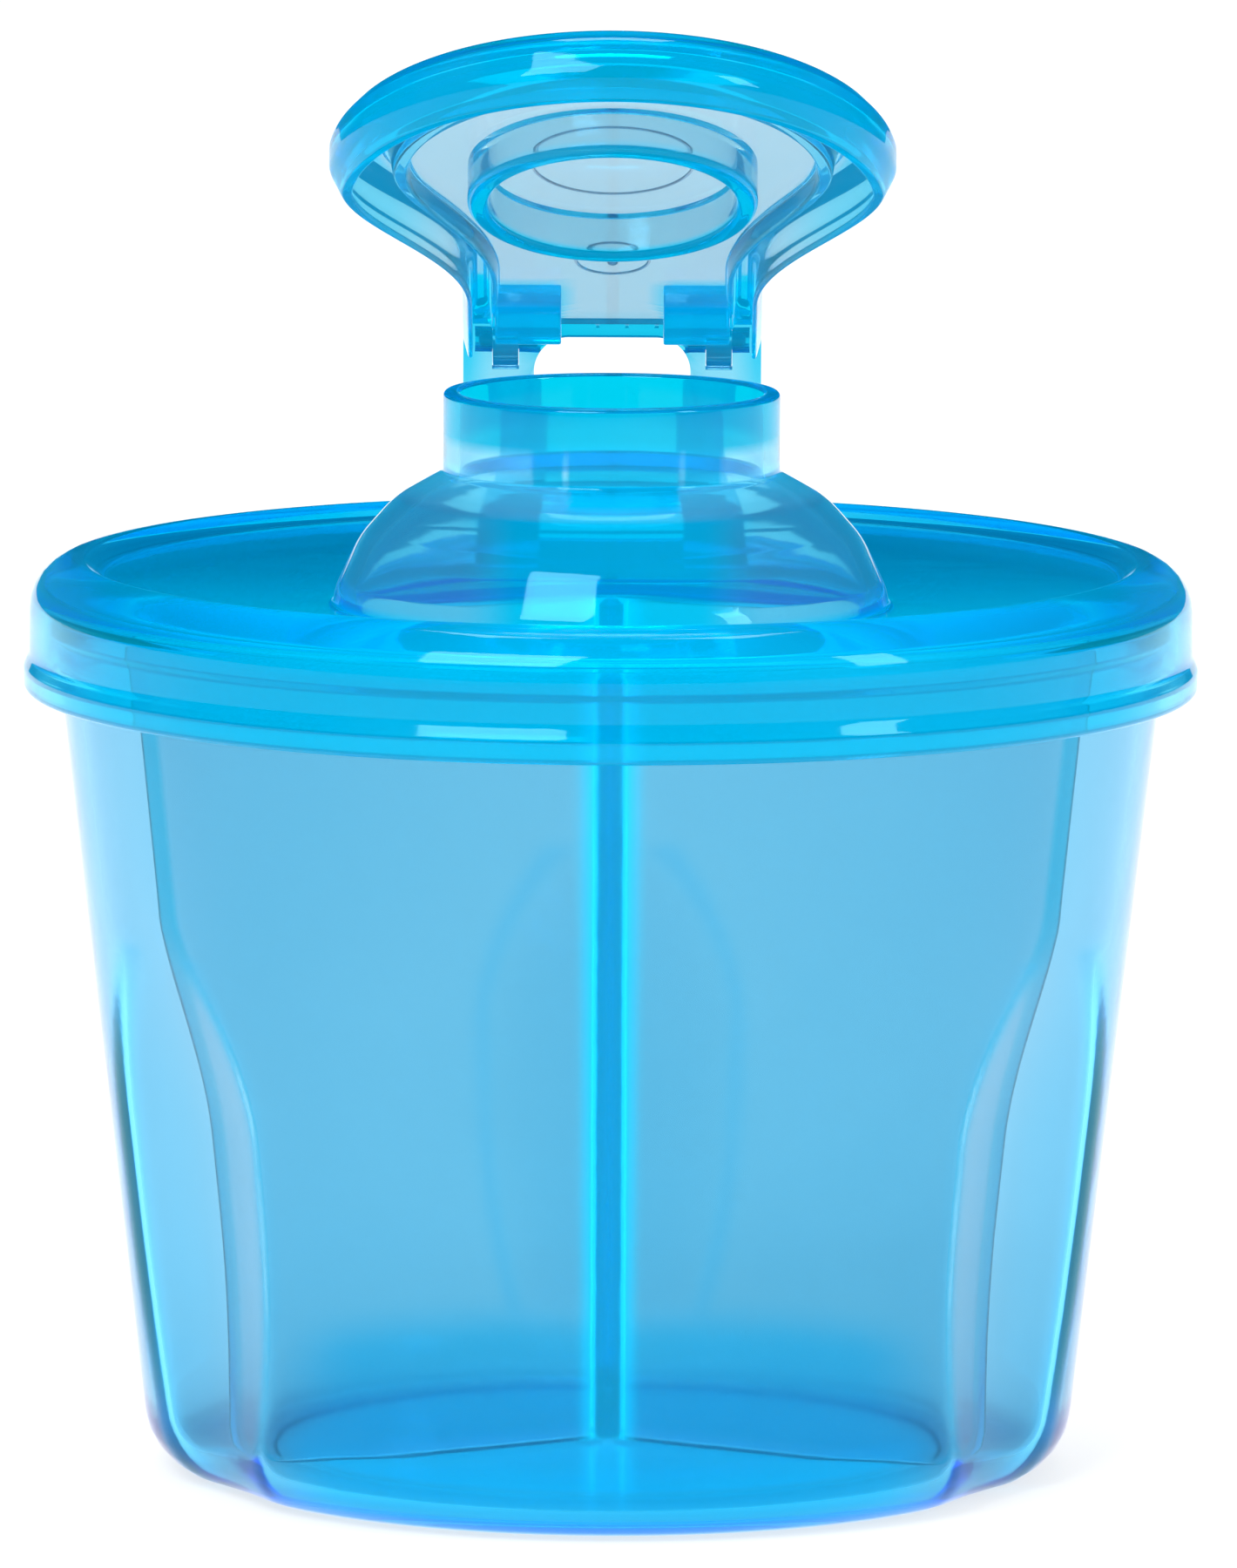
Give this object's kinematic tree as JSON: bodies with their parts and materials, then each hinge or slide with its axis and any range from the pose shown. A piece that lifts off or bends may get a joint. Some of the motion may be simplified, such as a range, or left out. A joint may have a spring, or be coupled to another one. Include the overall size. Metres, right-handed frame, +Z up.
{
  "type": "formula dispenser",
  "caption": "Tapered three-lobed bowl with a lift-out vaned divider, a turning lid with an off-centre pouring spout, and a hinged flip cap.",
  "frame": {"origin": "middle of the bowl's flat base, on the surface that it stands on, on the lid's turning axis", "axes": "+Z up; -Y is the front, where the spout is; +X is to the right seen from the front"},
  "size_m": [0.1084, 0.1084, 0.1366],
  "materials": {
    "bowl_plastic": "translucent pale blue moulded plastic",
    "divider_plastic": "translucent blue moulded plastic",
    "lid_plastic": "translucent blue moulded plastic, high gloss",
    "pin_plastic": "blue moulded plastic",
    "cap_plastic": "translucent blue moulded plastic, high gloss",
    "seal_plastic": "translucent pale blue moulded plastic"
  },
  "bodies": {
    "base": {"bowl": "bowl_plastic"},
    "insert": {"divider": "divider_plastic"},
    "top": {"lid": "lid_plastic", "hinge_bracket": "lid_plastic", "hinge_pin_left": "pin_plastic", "hinge_pin_right": "pin_plastic"},
    "cap": {"flip_cap": "cap_plastic", "cap_seal": "seal_plastic"}
  },
  "joints": [
    {"name": "divider_lift", "type": "slide", "parent": "base", "child": "insert", "axis": [0, 0, 1], "range_m": [0, 0.09]},
    {"name": "lid_turn", "type": "hinge", "parent": "insert", "child": "top", "pos_m": [0, 0, 0.0832], "axis": [0, 0, 1], "continuous": true},
    {"name": "cap_flip", "type": "hinge", "parent": "top", "child": "cap", "pos_m": [0, 0.02, 0.1027], "axis": [-1, 0, 0], "range_deg": [-28.5, 91.5]}
  ]
}
